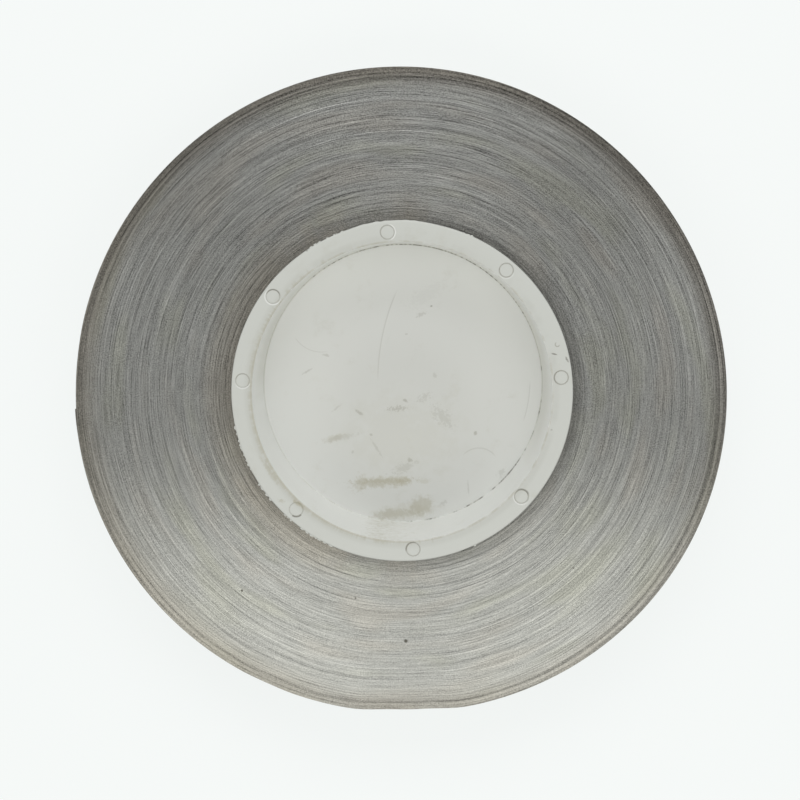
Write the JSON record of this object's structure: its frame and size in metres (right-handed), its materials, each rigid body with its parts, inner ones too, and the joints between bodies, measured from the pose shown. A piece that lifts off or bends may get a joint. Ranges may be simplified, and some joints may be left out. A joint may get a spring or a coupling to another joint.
{
  "type": "roll of nickel strip",
  "caption": "Pancake coil of thin nickel strip wound on a white moulded plastic core, lying flat on its end with the core's round recess facing up.",
  "frame": {"origin": "on the coil's axis at the level of its flat underside, where it stands on the floor", "axes": "+Z along the coil's axis, up out of the core's open recess; +Y is towards the top of the picture and +X to its right"},
  "size_m": [0.3058, 0.3055, 0.039],
  "materials": {
    "nickel_strip": "satin slit edges of nickel strip, finely streaked round the coil",
    "core_plastic": "off-white moulded plastic, slightly soiled"
  },
  "bodies": {
    "root": {"nickel_strip_coil": "nickel_strip", "plastic_core": "core_plastic"}
  },
  "joints": []
}
